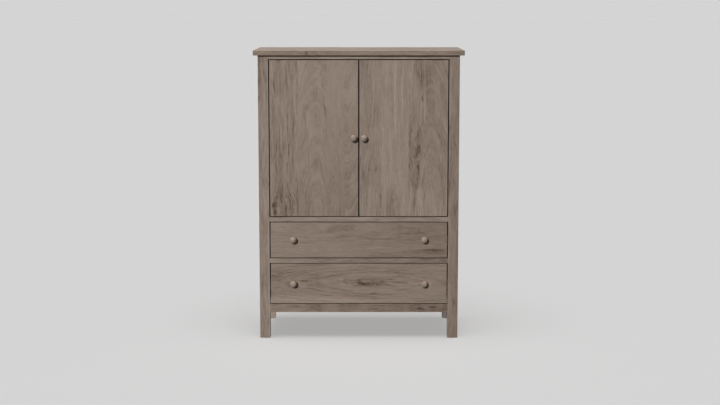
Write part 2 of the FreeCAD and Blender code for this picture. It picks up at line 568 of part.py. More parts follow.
# ------------------------------------------------------------------- drawers
def drawer(word, front_z, box_z, slide_z, kz):
    z0, z1 = box_z
    h = z1 - z0
    y0, y1 = BOX_Y
    fr = box(-(INNER - SIDE_GAP), INNER - SIDE_GAP, FACE_Y, FACE_Y + DOOR_T, *front_z)
    fr = ease(fr, FRONT_R, lambda e, m, d: True)
    fr = fr.cut([knob_hole(s * DRAWER_KNOB_X, kz) for s in (-1, 1)])
    NODES_RAW[word + "_drawer_front"] = fr
    put(word + "_drawer_knobs", *[knob(s * DRAWER_KNOB_X, kz) for s in (-1, 1)])

    # dovetail tails, in (y, z), drawn on the outside of a side
    n = 4
    pitch = h / n
    yb, ye = y0 + BOX_FRONT_T, y0 + BOX_FRONT_T - TAIL_L
    tails = {}
    for s in (-1, 1):
        ts = []
        for i in range(n):
            c = z0 + pitch * (i + 0.5)
            pts = [(s * (BOX_HALF - BOX_T), yb, c - 9.5), (s * (BOX_HALF - BOX_T), ye, c - 12.0),
                   (s * (BOX_HALF - BOX_T), ye, c + 12.0), (s * (BOX_HALF - BOX_T), yb, c + 9.5)]
            ts.append(extrude(pts, (s * BOX_T, 0, 0)))
        tails[s] = ts
    bf = box(-BOX_HALF, BOX_HALF, y0, y0 + BOX_FRONT_T, z0, z1)
    bf = ease(bf, 1.0, lambda e, m, d: d == "x" and m.z > z1 - 1e-6 and m.y > y0 + 1)
    bottom = box(-(BOX_HALF - BOX_T + 6), BOX_HALF - BOX_T + 6, y0 + BOX_FRONT_T - 6, y1 - 3.0, z0 + 10.0, z0 + 10.0 + BOX_BOTTOM_T)
    bk = box(-(BOX_HALF - BOX_T + 4), BOX_HALF - BOX_T + 4, y1 - 16.0, y1 - 3.0, z0 + 10.0 + BOX_BOTTOM_T, z1)
    bk = ease(bk, 1.0, lambda e, m, d: d == "x" and m.z > z1 - 1e-6)
    bf = bf.cut(tails[-1] + tails[1] + [bottom])
    NODES_RAW[word + "_drawer_box_front"] = bf
    groove = box(-(BOX_HALF - BOX_T + 6), BOX_HALF - BOX_T + 6, y0 + BOX_FRONT_T - 6, y1 + 1, z0 + 10.0, z0 + 10.0 + BOX_BOTTOM_T)
    for s, w in ((-1, "left"), (1, "right")):
        sd = box(s * (BOX_HALF - BOX_T), s * BOX_HALF, yb, y1, z0, z1)
        sd = ease(sd, 1.0, lambda e, m, d: d == "y" and m.z > z1 - 1e-6)
        sd = fuse(sd, *tails[s])
        sd = sd.cut([groove, bk])
        NODES_RAW[f"{word}_drawer_{w}_side"] = sd
    NODES_RAW[word + "_drawer_back"] = bk
    NODES_RAW[word + "_drawer_bottom"] = bottom
    members = []
    for s, w in ((-1, "left"), (1, "right")):
        ms_, holes = screwed_runner(s, IN_P, slide_z, *SLIDE_Y, (SLIDE_Y[0] + 45.0, SLIDE_Y[0] + 195.0, SLIDE_Y[1] - 45.0))
        members += ms_
        PILOTS.setdefault(f"{word}_drawer_{w}_side", []).extend(holes)
    put(word + "_runner_drawer_members", *members)
    put(word + "_runner_middle_members", *[runner(s, MID_P, slide_z, *SLIDE_Y) for s in (-1, 1)])


drawer("upper", Z_UD, U_BOX_Z, U_SLIDE_Z, U_KNOB_Z)
drawer("lower", Z_LD, L_BOX_Z, L_SLIDE_Z, L_KNOB_Z)

# ------------------------------------------------------------- keyboard tray
tp = box(-BOX_HALF, BOX_HALF, *TRAY_Y, 650.0, 668.0)
NODES_RAW["keyboard_tray_panel"] = tp
tf = box(-BOX_HALF, BOX_HALF, TRAY_Y[0] - 18.0, TRAY_Y[0], 626.0, 668.0)
tf = ease(tf, 3.0, lambda e, m, d: d == "x" and m.y < TRAY_Y[0] - 8.0)
NODES_RAW["keyboard_tray_front_rail"] = tf
sr, members = [], []
for s in (-1, 1):
    ms_, holes = screwed_runner(s, T_IN_P, T_SLIDE_Z, *TRAY_SLIDE_Y, (TRAY_SLIDE_Y[0] + 30.0, TRAY_SLIDE_Y[0] + 160.0, TRAY_SLIDE_Y[1] - 30.0))
    members += ms_
    sr.append(box(s * (BOX_HALF - 18.0), s * BOX_HALF, *TRAY_Y, 608.0, 650.0).cut(holes))
put("keyboard_tray_side_rails", *sr)
put("keyboard_tray_runner_members", *members)

# ------------------------------------------------------------ remaining screws
for xs in (-380.0, -130.0, 130.0, 380.0):
    add_screw(["back_panel", "back_top_rail"], 4.0, 1.8, 1.9, 22.0, (xs, BACK_Y - 2.0, 1372.0), (0, -1, 0))
    add_screw(["back_panel", "back_bottom_rail"], 4.0, 1.8, 1.9, 22.0, (xs, BACK_Y - 2.0, 161.0), (0, -1, 0))
    add_screw(["back_panel", "compartment_floor"], 4.0, 1.8, 1.9, 30.0, (xs, BACK_Y - 2.0, Z_MR[1] - FLOOR_T / 2), (0, -1, 0))
for xs in (-22.0, 22.0):
    add_screw(["door_catch", "front_top_rail"], 3.4, 1.6, 1.7, 26.0, (xs, FACE_Y + 34.0, 1354.0), (0, 0, 1))
put("case_screws", *SCREWS)

# ------------------------------------------------------------ collect and write
for nm, s in rails.items():
    NODES_RAW[nm] = s
for nm, s in NODES_RAW.items():
    if nm in PILOTS:
        s = s.cut(PILOTS[nm])
    put(nm, s)
if "inner_cleats" in PILOTS:
    cleats = [c.cut([h for h in PILOTS["inner_cleats"] if h.BoundBox.intersect(c.BoundBox)]) for c in cleats]
put("inner_cleats", *cleats)
put("door_catch", NODES["door_catch"][0].cut(PILOTS["door_catch"]))

os.makedirs("parts", exist_ok=True)
for old in glob.glob("parts/*.step"):
    os.remove(old)
for nm, solids in sorted(NODES.items()):
    shape = solids[0] if len(solids) == 1 else Part.makeCompound(solids)
    shape.exportStep(f"parts/{nm}.step")
bb = Part.makeCompound([s for ss in NODES.values() for s in ss]).BoundBox
print(len(NODES), "nodes;", sum(len(s) for s in NODES.values()), "solids; box",
      [round(v, 3) for v in (bb.XMin, bb.XMax, bb.YMin, bb.YMax, bb.ZMin, bb.ZMax)])
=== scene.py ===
import math
import random

import bmesh
import bpy
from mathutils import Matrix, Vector


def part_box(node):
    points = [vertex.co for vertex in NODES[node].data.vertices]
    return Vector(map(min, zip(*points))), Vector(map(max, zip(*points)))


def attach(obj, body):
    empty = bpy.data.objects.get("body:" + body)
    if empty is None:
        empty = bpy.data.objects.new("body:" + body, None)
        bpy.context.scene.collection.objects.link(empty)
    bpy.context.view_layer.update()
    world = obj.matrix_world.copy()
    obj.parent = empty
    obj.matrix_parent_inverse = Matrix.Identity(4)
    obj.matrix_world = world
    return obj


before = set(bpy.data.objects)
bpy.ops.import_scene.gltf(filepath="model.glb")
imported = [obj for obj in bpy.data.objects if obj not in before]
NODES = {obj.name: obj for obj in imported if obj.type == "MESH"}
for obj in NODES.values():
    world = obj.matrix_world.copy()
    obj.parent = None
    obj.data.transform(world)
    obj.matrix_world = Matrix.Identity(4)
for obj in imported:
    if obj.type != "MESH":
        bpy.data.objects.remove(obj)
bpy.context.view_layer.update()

# ------------------------------------------------------------------- camera
FACE_Y = -0.231                      # front plane of posts, doors and drawers
cam_data = bpy.data.cameras.new("camera")
cam_data.sensor_fit = "HORIZONTAL"
cam_data.sensor_width = 36.0
cam_data.lens = 71.5
cam_data.clip_start, cam_data.clip_end = 0.05, 400.0
cam = bpy.data.objects.new("camera", cam_data)
bpy.context.scene.collection.objects.link(cam)
cam.location = (0.0058, FACE_Y - 6.8926, 1.6481)
cam.rotation_euler = (math.radians(90.0 - 8.0316), 0.0, 0.0)
bpy.context.scene.camera = cam

vs = bpy.context.scene.view_settings
vs.view_transform = "Standard"
vs.look = "None"
vs.exposure = 0.0
vs.gamma = 1.0


# -------------------------------------------------------- node tree shorthand
class Tree:
    """Short names for the shader nodes used below. Values are sockets or numbers."""

    def __init__(self, tree):
        self.t = tree

    def new(self, kind, **props):
        n = self.t.nodes.new(kind)
        for k, v in props.items():
            setattr(n, k, v)
        return n

    def put(self, socket, value):
        if value is None:
            return
        if isinstance(value, bpy.types.NodeSocket):
            self.t.links.new(value, socket)
        else:
            socket.default_value = value

    def m(self, op, a, b=None, c=None, clamp=False):
        n = self.new("ShaderNodeMath", operation=op, use_clamp=clamp)
        for s, v in zip(n.inputs, (a, b, c)):
            self.put(s, v)
        return n.outputs[0]

    def add(self, a, b): return self.m("ADD", a, b)
    def sub(self, a, b): return self.m("SUBTRACT", a, b)
    def mul(self, a, b): return self.m("MULTIPLY", a, b)
    def mad(self, a, b, c): return self.m("MULTIPLY_ADD", a, b, c)

    def v(self, op, a, b=None, c=None, scale=None, out=0):
        n = self.new("ShaderNodeVectorMath", operation=op)
        for s, x in zip(n.inputs, (a, b, c)):
            self.put(s, x)
        if scale is not None:
            self.put(n.inputs["Scale"], scale)
        return n.outputs[out]

    def xyz(self, vec):
        n = self.new("ShaderNodeSeparateXYZ")
        self.put(n.inputs[0], vec)
        return n.outputs[0], n.outputs[1], n.outputs[2]

    def vec(self, x, y, z):
        n = self.new("ShaderNodeCombineXYZ")
        for s, v in zip(n.inputs, (x, y, z)):
            self.put(s, v)
        return n.outputs[0]

    def noise(self, vec, scale=1.0, detail=2.0, rough=0.5, dist=0.0, dims="3D", w=None, color=False, lac=2.0):
        n = self.new("ShaderNodeTexNoise", noise_dimensions=dims)
        if vec is not None and dims != "1D":
            self.put(n.inputs["Vector"], vec)
        if w is not None:
            self.put(n.inputs["W"], w)
        self.put(n.inputs["Scale"], scale)
        self.put(n.inputs["Detail"], detail)
        self.put(n.inputs["Roughness"], rough)
        self.put(n.inputs["Lacunarity"], lac)
        self.put(n.inputs["Distortion"], dist)
        return n.outputs["Color" if color else "Fac"]

    def white(self, w):
        n = self.new("ShaderNodeTexWhiteNoise", noise_dimensions="1D")
        self.put(n.inputs["W"], w)
        return n.outputs["Value"]

    def smooth(self, x, lo, hi, a=0.0, b=1.0):
        n = self.new("ShaderNodeMapRange", interpolation_type="SMOOTHSTEP")
        for s, v in zip(n.inputs, (x, lo, hi, a, b)):
            self.put(s, v)
        return n.outputs[0]

    def lin(self, x, lo, hi, a=0.0, b=1.0):
        n = self.new("ShaderNodeMapRange", interpolation_type="LINEAR", clamp=True)
        for s, v in zip(n.inputs, (x, lo, hi, a, b)):
            self.put(s, v)
        return n.outputs[0]

    def ramp(self, x, stops, mode="LINEAR"):
        n = self.new("ShaderNodeValToRGB")
        n.color_ramp.interpolation = mode
        el = n.color_ramp.elements
        while len(el) < len(stops):
            el.new(0.5)
        for e, (p, c) in zip(el, stops):
            e.position = p
            e.color = (*c, 1.0) if len(c) == 3 else c
        self.put(n.inputs[0], x)
        return n.outputs[0]

    def mix(self, fac, a, b, mode="MIX"):
        n = self.new("ShaderNodeMix", data_type="RGBA", blend_type=mode, clamp_factor=True)
        self.put(n.inputs[0], fac)
        self.put(n.inputs[6], a)
        self.put(n.inputs[7], b)
        return n.outputs[2]

    def bump(self, height, strength, distance, normal=None):
        n = self.new("ShaderNodeBump")
        self.put(n.inputs["Strength"], strength)
        self.put(n.inputs["Distance"], distance)
        self.put(n.inputs["Height"], height)
        if normal is not None:
            self.put(n.inputs["Normal"], normal)
        return n.outputs[0]


def material(name):
    mat = bpy.data.materials.new(name)
    mat.use_nodes = True
    nt = mat.node_tree
    nt.nodes.clear()
    g = Tree(nt)
    out = g.new("ShaderNodeOutputMaterial")
    b = g.new("ShaderNodeBsdfPrincipled")
    nt.links.new(b.outputs[0], out.inputs[0])
    return mat, g, b


def srgb(r, g, b):
    f = lambda c: c / 12.92 if c <= 0.04045 else ((c + 0.055) / 1.055) ** 2.4
    return tuple(f(c / 255.0) for c in (r, g, b))


# ---------------------------------------------------------------------- wood
# Board coordinates: u across the face, w along the grain, t through the thickness, in metres.
AXES = {"x": 0, "y": 1, "z": 2}

STAIN = dict(   # grey-brown stain
    dark=(0.050, 0.0337, 0.0225), low=(0.122, 0.0913, 0.0705), mid=(0.171, 0.1337, 0.1083), high=(0.217, 0.1747, 0.1434),
)
PALE = dict(    # clear-lacquered drawer wood
    dark=(0.27, 0.185, 0.115), low=(0.41, 0.30, 0.20), mid=(0.50, 0.385, 0.27), high=(0.58, 0.46, 0.335),
)


def wood(name, axes, box, seed, tones=STAIN, staves=None, rings=105.0, pith=(0.0, 0.05), slope=0.04, figure=1.0,
         knots=(), tone=1.0, rough=0.50, edge=0.10, busy=0.8, pores=1.0, wander=1.0, fade=(0.0, 0.0), patches=()):
    """Flat-sawn wood cut from a log: growth rings about a pith that runs along the grain at a slope (which gives the
    arched figure), streaks, flecks, fibres, pores, knots the grain flows around, and a little wear on the edges.
    axes: letters of u, w, t; box: the board's corners; staves: the glued-up strips, each a width, or a tuple of
    (width, tone, busy, figure, pith from the strip's middle, pith depth, slope); knots: (u, w, half width, half length,
    darkness, how far the grain bends around it), a light streak has a negative darkness; fade: change of tone from the
    middle to the edge, along u and w, which on several front boards is painted shade, darker towards the right and the
    bottom where the light falls off; patches: broad soft changes of tone, (u, w, half width, half length, darkness)."""
    rnd = random.Random(seed)
    mat, g, bsdf = material(name)
    tc = g.new("ShaderNodeTexCoord")
    comp = g.xyz(tc.outputs["Object"])
    lo, hi = box
    iu, iw, it = (AXES[a] for a in axes)
    cu, cw, ct = ((lo[i] + hi[i]) / 2 for i in (iu, iw, it))
    hu, hw = (hi[iu] - lo[iu]) / 2, (hi[iw] - lo[iw]) / 2
    u = g.sub(comp[iu], cu)
    w = g.sub(comp[iw], cw)
    t = g.sub(comp[it], ct)

    # strips of a glued-up panel: each has its own tone, figure and place in the log
    seed_off = rnd.uniform(0, 50)
    if staves:
        staves = [s if isinstance(s, tuple) else
                  (s, rnd.uniform(-0.07, 0.07), rnd.uniform(0.45, 1.1), rnd.uniform(0.6, 1.2), rnd.uniform(-0.05, 0.05),
                   rnd.uniform(0.02, 0.07), rnd.choice((-1, 1)) * rnd.uniform(0.03, 0.14)) for s in staves]
        total = sum(s[0] for s in staves)
        acc, one, two = 0.0, [], []
        for width, st, sb, sf, sp, sd, ss in staves:
            mid = ((acc + width / 2) / total - 0.5) * 2 * hu
            one.append((acc / total, (0.5 + st, sb / 2, sf / 2)))
            two.append((acc / total, (0.5 + mid + sp, sd * 4, 0.5 + ss)))
            acc += width
        at = g.lin(u, -hu, hu)
        c1, c2, c3 = g.xyz(g.ramp(at, one, "CONSTANT"))
        d1, d2, d3 = g.xyz(g.ramp(at, two, "CONSTANT"))
        shift = g.mad(c2, 17.0, g.mad(d1, 31.0, seed_off))
        stave_tone, busy_k, fig_k = g.sub(c1, 0.5), g.mul(c2, 2.0), g.mul(c3, 2.0 * figure)
        pu, pd, sl = g.sub(d1, 0.5), g.mul(d2, 0.25), g.sub(d3, 0.5)
    else:
        shift, pu, pd, sl, stave_tone, busy_k, fig_k = seed_off, pith[0], pith[1], slope, 0.0, busy, figure

    # slow wander and small waves of the grain
    p = g.vec(g.add(u, shift), w, g.add(t, shift))
    wx, wy, wz = g.xyz(g.noise(g.v("MULTIPLY", p, (7.0, 1.6, 7.0)), 1.0, 2.0, 0.5, color=True))
    vx, vy, vz = g.xyz(g.noise(g.v("MULTIPLY", p, (22.0, 8.0, 22.0)), 1.0, 3.0, 0.55, color=True))
    sx, sy, sz = g.xyz(g.noise(g.v("MULTIPLY", p, (70.0, 24.0, 70.0)), 1.0, 2.0, 0.5, color=True))
    wave = g.mad(g.sub(sx, 0.5), 0.006 * wander, g.mul(g.sub(vx, 0.5), 0.020 * wander))
    far_u = g.mul(g.sub(wx, 0.5), 0.050 * wander)

    # knots: the grain flows around them
    dark_k = None
    bend = None
    swirl = None
    for (ku, kw, ru, rw, amp, push) in knots:
        du = g.sub(g.mad(wave, 0.5, u), ku)
        dw = g.sub(w, kw)
        wob = g.mul(g.sub(g.noise(g.vec(g.mul(u, 60.0), g.mul(w, 16.0), seed_off + ku * 40.0 + kw * 9.0), 1.0, 3.0, 0.6), 0.5), 1.3)
        e = g.add(g.m("SQRT", g.add(g.m("POWER", g.m("ABSOLUTE", g.mul(du, 1.0 / ru)), 2.0),
                                    g.m("POWER", g.m("ABSOLUTE", g.mul(dw, 1.0 / rw)), 2.0))), wob)
        if amp:
            d = g.mul(g.smooth(e, 0.05, 1.0, 1.0, 0.0), amp)
            dark_k = d if dark_k is None else g.add(dark_k, d)
        if push:
            k = g.smooth(e, 0.0, 2.4, 2.2 * push, 0.0)
            swirl = k if swirl is None else g.add(swirl, k)
            b = g.mul(g.mul(du, g.smooth(e, 0.2, 2.6, 1.0, 0.0)), -push)
            bend = b if bend is None else g.add(bend, b)
    uu = g.add(g.add(u, wave), far_u)
    if bend is not None:
        uu = g.add(uu, bend)
    tt = g.mad(g.sub(vy, 0.5), 0.010 * wander, g.mad(g.sub(wy, 0.5), 0.030 * wander, t))
    pw = g.vec(g.add(uu, shift), w, g.add(tt, shift))

    # growth rings about the pith
    dep = g.add(g.m("MULTIPLY_ADD", w, sl, pd), g.mul(g.sub(g.noise(g.vec(g.add(w, shift), seed_off, 0.0), 3.0, 2.0), 0.5), 0.07 * wander))
    du = g.sub(uu, pu)
    td = g.add(tt, dep)
    r = g.m("SQRT", g.add(g.mul(du, du), g.mul(td, td)))
    ph = g.add(g.mul(r, rings), g.add(g.mul(g.noise(g.v("MULTIPLY", pw, (60.0, 10.0, 60.0)), 1.0, 2.0, 0.55), 0.9),
                                      g.mul(g.noise(g.v("MULTIPLY", pw, (16.0, 5.0, 16.0)), 1.0, 2.0, 0.5), 2.4)))
    if swirl is not None:
        ph = g.add(ph, swirl)
    fr = g.m("FRACT", ph)
    late = g.mul(g.m("POWER", fr, 2.2), g.smooth(fr, 0.88, 1.0, 1.0, 0.0))
    rid = g.white(g.add(g.m("FLOOR", ph), seed_off))
    ring = g.mul(late, g.mad(rid, 0.9, 0.1))
    fr2 = g.m("FRACT", g.mul(ph, 3.0))
    thin = g.mul(g.m("POWER", fr2, 3.0), g.smooth(fr2, 0.90, 1.0, 1.0, 0.0))

    # streaks that follow the rings, and flecks, fibres and pores that follow the grain
    q = g.vec(g.add(r, shift), w, shift)
    broad = g.sub(g.noise(g.v("MULTIPLY", q, (50.0, 2.2, 1.0)), 1.0, 3.0, 0.58), 0.5)
    lines = g.sub(g.noise(g.v("MULTIPLY", q, (98.0, 6.0, 1.0)), 1.0, 3.0, 0.6), 0.5)
    medium = g.sub(g.noise(g.v("MULTIPLY", q, (190.0, 10.0, 1.0)), 1.0, 3.0, 0.62), 0.5)
    fleck = g.mul(g.smooth(g.noise(g.v("MULTIPLY", pw, (120.0, 17.0, 120.0)), 1.0, 2.0, 0.55), 0.55, 0.74),
                  g.smooth(g.noise(g.v("MULTIPLY", pw, (10.0, 3.0, 10.0)), 1.0, 1.0, 0.5), 0.38, 0.66))
    grain = g.sub(g.noise(g.v("MULTIPLY", pw, (180.0, 17.0, 180.0)), 1.0, 3.0, 0.62), 0.5)
    fine = g.sub(g.noise(g.v("MULTIPLY", pw, (560.0, 38.0, 560.0)), 1.0, 3.0, 0.6), 0.5)
    pore_n = g.noise(g.v("MULTIPLY", pw, (1500.0, 90.0, 1500.0)), 1.0, 1.0, 0.5)
    pore = g.mul(g.smooth(pore_n, 0.60, 0.72), g.mad(late, 0.7, 0.3))
    cloud = g.sub(g.noise(g.v("MULTIPLY", pw, (6.0, 2.0, 6.0)), 1.0, 2.0, 0.5), 0.5)

    lively = g.mad(broad, 0.70, g.mad(lines, 0.80, g.mad(medium, 0.70, g.mad(grain, 0.66, g.mul(fleck, -0.34)))))
    val = g.m("MULTIPLY_ADD", lively, busy_k, 0.66)
    val = g.mad(fine, 0.78, val)
    val = g.mad(cloud, 0.40, val)
    val = g.sub(val, g.mul(g.mad(ring, 0.34, g.mul(thin, 0.05)), fig_k))
    val = g.mad(pore, -0.14 * pores, val)
    val = g.add(val, stave_tone)
    # a straight ramp of tone across the board; on several front boards this is painted shade, darker towards the right
    # and the bottom where the light falls off
    val = g.mad(u, fade[0] / hu, g.mad(w, fade[1] / hw, val))
    if dark_k is not None:
        val = g.sub(val, g.mul(dark_k, g.mad(g.add(grain, medium), -1.6, 0.9)))
    for (ku, kw, ru, rw, amp) in patches:
        e = g.m("SQRT", g.add(g.m("POWER", g.m("ABSOLUTE", g.mul(g.sub(g.add(u, wave), ku), 1.0 / ru)), 2.0),
                              g.m("POWER", g.m("ABSOLUTE", g.mul(g.sub(w, kw), 1.0 / rw)), 2.0)))
        val = g.sub(val, g.smooth(e, 0.0, 1.0, amp, 0.0))
    # wear: the eased edges are a little lighter
    de = g.m("MINIMUM", g.sub(hu, g.m("ABSOLUTE", u)), g.sub(hw, g.m("ABSOLUTE", w)))
    worn = g.mul(g.smooth(de, 0.0003, 0.0042, 1.0, 0.0), g.mad(grain, 1.2, 0.75))
    val = g.mad(worn, edge, val)

    s = tones
    top = tuple(h + 0.73 * (h - m) for h, m in zip(s["high"], s["mid"]))
    col = g.ramp(g.mul(val, 0.82), [(0.0, s["dark"]), (0.246, s["low"]), (0.476, s["mid"]), (0.779, s["high"]), (1.0, top)])
    if tone != 1.0:
        warm = (1.2, 1.32) if tone < 1.0 else (1.0, 1.0)      # a darker board is also a little browner
        col = g.mix(1.0, col, (tone, tone ** warm[0], tone ** warm[1], 1.0), "MULTIPLY")
    g.put(bsdf.inputs["Base Color"], col)
    rg = g.mad(fine, 0.16, rough)
    rg = g.mad(pore, 0.16, rg)
    g.put(bsdf.inputs["Roughness"], rg)
    bsdf.inputs["Specular IOR Level"].default_value = 0.30
    h = g.mad(ring, -0.30, g.mad(fine, 0.9, 0.0))
    h = g.mad(pore, -1.0, h)
    h = g.mad(grain, 0.5, h)
    g.put(bsdf.inputs["Normal"], g.bump(h, 0.35, 0.00035))
    return mat


# --------------------------------------------------------- metals and plastics
def metal(name, color, dark, rough, axis="y", scale=1.0):
    """Plated or rolled metal: fine lines along the piece, cloudy plating, small specks."""
    mat, g, bsdf = material(name)
    tc = g.new("ShaderNodeTexCoord")
    stretch = {"x": (30.0, 1500.0, 1500.0), "y": (1500.0, 30.0, 1500.0), "z": (1500.0, 1500.0, 30.0)}[axis]
    lines = g.noise(g.v("MULTIPLY", tc.outputs["Object"], stretch), scale, 2.0, 0.6)
    cloud = g.noise(tc.outputs["Object"], 60.0 * scale, 4.0, 0.6)
    speck = g.smooth(g.noise(tc.outputs["Object"], 900.0, 2.0, 0.6), 0.66, 0.74)
    f = g.mad(lines, 0.55, g.mul(cloud, 0.6))
    col = g.ramp(f, [(0.30, dark), (0.80, color)])
    col = g.mix(g.mul(speck, 0.5), col, (*[c * 0.45 for c in dark], 1.0))
    g.put(bsdf.inputs["Base Color"], col)
    bsdf.inputs["Metallic"].default_value = 1.0
    g.put(bsdf.inputs["Roughness"], g.mad(cloud, 0.22, g.mad(lines, 0.10, rough - 0.16)))
    g.put(bsdf.inputs["Normal"], g.bump(g.mad(lines, 0.6, cloud), 0.12, 0.0002))
    return mat


def plastic(name, color, light, rough, grain=1700.0):
    """Moulded plastic: fine spark texture and slight uneven colour."""
    mat, g, bsdf = material(name)
    tc = g.new("ShaderNodeTexCoord")
    spark = g.noise(tc.outputs["Object"], grain, 2.0, 0.7)
    cloud = g.noise(tc.outputs["Object"], 45.0, 3.0, 0.5)
    col = g.ramp(g.mad(spark, 0.35, g.mul(cloud, 0.65)), [(0.25, color), (0.75, light)])
    g.put(bsdf.inputs["Base Color"], col)
    g.put(bsdf.inputs["Roughness"], g.mad(spark, 0.2, rough - 0.1))
    g.put(bsdf.inputs["Normal"], g.bump(spark, 0.25, 0.0002))
    return mat


def dress(node, mat):
    o = NODES[node]
    if not o.material_slots:
        o.data.materials.append(mat)
    for s in o.material_slots:
        s.material = mat


# ---------------------------------------------------------- dressing the nodes
def W(node, axes, seed, **kw):
    dress(node, wood("wood_" + node, axes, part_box(node), seed, **kw))


# doors: u is x from the door's middle, w is z from the door's middle
# the left door's fade is painted shade: lighter at the top and darker towards the bottom, where the light falls off
W("left_door_panel", "xzy", 11, fade=(0.0, 0.10),
  staves=((137, -0.04, 1.20, 0.8, 0.16, 0.05, 0.02), (141, 0.04, 0.72, 0.75, 0.02, 0.095, 0.15),
          (88, 0.01, 0.42, 0.5, 0.20, 0.09, 0.0), (66, 0.02, 0.66, 0.75, -0.03, 0.100, -0.20)),
  knots=((-0.186, -0.322, 0.018, 0.021, 0.46, 0.3), (-0.190, -0.360, 0.019, 0.023, 0.46, 0.3), (-0.129, -0.317, 0.045, 0.070, 0.14, 0.3),
         (-0.160, -0.338, 0.034, 0.046, 0.0, 0.6),
         (-0.104, 0.307, 0.009, 0.040, 0.26, 0.3), (-0.099, 0.049, 0.011, 0.045, 0.26, 0.3), (-0.207, 0.030, 0.006, 0.040, 0.24, 0.2),
         (-0.143, -0.034, 0.012, 0.060, 0.16, 0.2), (0.008, -0.141, 0.014, 0.060, 0.15, 0.0), (-0.007, -0.337, 0.014, 0.050, 0.16, 0.3),
         (-0.036, 0.151, 0.014, 0.022, 0.10, 0.9)),
  patches=((-0.20, 0.350, 0.050, 0.080, -0.26), (0.027, 0.27, 0.035, 0.16, -0.18), (0.19, 0.22, 0.03, 0.12, -0.18), (0.19, -0.22, 0.03, 0.10, -0.20),
           (-0.02, 0.10, 0.03, 0.22, -0.10), (0.10, -0.32, 0.04, 0.10, -0.14), (-0.14, -0.17, 0.03, 0.10, -0.14), (0.14, 0.05, 0.04, 0.20, 0.10), (-0.08, 0.22, 0.03, 0.08, 0.12)))
W("right_door_panel", "xzy", 24,
  staves=((110, 0.0, 0.90, 0.8, -0.14, 0.06, -0.02), (132, 0.13, 0.80, 0.6, 0.22, 0.08, 0.02),
          (83, -0.02, 1.20, 0.8, 0.10, 0.05, 0.05), (112, -0.05, 0.72, 0.38, -0.03, 0.090, 0.16)),
  knots=((0.060, -0.066, 0.015, 0.032, 0.24, 0.5), (0.072, -0.040, 0.011, 0.060, 0.09, 0.3), (0.076, 0.016, 0.024, 0.060, 0.12, 0.3), (0.088, 0.195, 0.010, 0.034, 0.46, 0.4),
         (0.066, -0.060, 0.030, 0.080, 0.0, 0.7),
         (0.071, 0.330, 0.016, 0.070, 0.12, 0.3), (0.086, 0.063, 0.007, 0.034, 0.28, 0.3), (-0.134, -0.156, 0.007, 0.036, 0.28, 0.3),
         (-0.192, -0.180, 0.020, 0.060, 0.12, 0.0), (-0.030, -0.278, 0.012, 0.050, 0.14, 0.6), (0.071, -0.230, 0.007, 0.034, 0.10, 0.4),
         (-0.041, 0.220, 0.0075, 0.34, -0.40, 0.0), (-0.007, 0.250, 0.0065, 0.22, -0.32, 0.0), (-0.085, 0.137, 0.0060, 0.32, -0.24, 0.0),
         (0.081, -0.107, 0.0040, 0.05, -0.36, 0.0), (-0.060, -0.060, 0.0050, 0.18, -0.22, 0.0)),
  patches=((-0.055, -0.33, 0.075, 0.17, 0.30), (0.072, -0.27, 0.026, 0.09, -0.26), (0.085, 0.31, 0.035, 0.12, 0.10), (0.105, 0.295, 0.065, 0.14, 0.24), (0.105, 0.13, 0.020, 0.07, -0.18),
           (0.070, -0.01, 0.060, 0.30, 0.14), (0.19, -0.25, 0.03, 0.16, 0.12), (0.15, 0.0, 0.06, 0.50, 0.05),
           (0.19, 0.20, 0.035, 0.14, 0.13), (0.19, -0.17, 0.035, 0.10, 0.12)))
# drawer fronts: u is z from the middle, w is x
# the upper drawer front's fade is painted shade: darker towards the right, where the light falls off
W("upper_drawer_front", "zxy", 37, pith=(0.06, 0.10), slope=0.02, tone=0.935, busy=0.54, wander=0.36, fade=(0.02, -0.15),
  knots=((-0.050, 0.345, 0.007, 0.085, 0.46, 0.0), (-0.060, 0.30, 0.010, 0.12, 0.16, 0.0), (-0.048, -0.25, 0.016, 0.050, 0.12, 0.5),
         (-0.022, 0.05, 0.008, 0.10, 0.10, 0.0)),
  patches=((-0.055, 0.38, 0.03, 0.10, 0.18),))
W("lower_drawer_front", "zxy", 45, pith=(0.006, -0.004), slope=0.12, tone=0.94, busy=0.90, figure=1.2, wander=0.42, fade=(-0.03, 0.0),
  knots=((0.002, 0.025, 0.009, 0.065, 0.40, 0.4), (0.010, -0.085, 0.013, 0.055, 0.32, 0.5), (0.013, -0.275, 0.006, 0.055, 0.42, 0.3),
         (-0.006, 0.06, 0.018, 0.12, 0.16, 0.3), (0.052, -0.36, 0.010, 0.08, 0.12, 0.0), (0.048, 0.22, 0.007, 0.10, 0.12, 0.0),
         (-0.060, 0.05, 0.006, 0.16, 0.12, 0.0)),
  patches=((0.006, 0.03, 0.045, 0.19, 0.26), (-0.085, -0.20, 0.040, 0.42, -0.32), (-0.080, 0.37, 0.040, 0.14, 0.22), (0.075, -0.05, 0.035, 0.28, -0.16),
           (0.03, -0.41, 0.03, 0.07, 0.24)))
# the top's fade is painted shade: a little darker towards the right, where the light falls off
W("top_panel", "yxz", 53, tone=0.86, fade=(0.0, -0.05),
  staves=(120, (140, -0.03, 1.25, 1.0, -0.02, 0.05, -0.06), (130, 0.03, 1.15, 1.0, 0.03, 0.04, 0.05), (130, 0.0, 1.2, 1.0, 0.0, 0.05, -0.08)),
  knots=((-0.252, -0.250, 0.014, 0.016, 0.45, 0.5),), patches=((-0.25, 0.48, 0.03, 0.05, 0.14), (-0.25, -0.02, 0.03, 0.16, -0.06), (-0.25, 0.0, 0.03, 2.0, -0.08)))
W("front_left_post", "xzy", 61, pith=(0.06, 0.12), slope=0.0, wander=0.45, busy=0.8, tone=1.06, fade=(0.10, 0.0),
  knots=((-0.018, 0.61, 0.012, 0.14, 0.20, 0.0), (0.006, -0.03, 0.016, 0.15, -0.20, 0.0)),
  patches=((0.0, -0.05, 0.05, 0.20, -0.16), (0.0, 0.68, 0.05, 0.06, 0.14)))
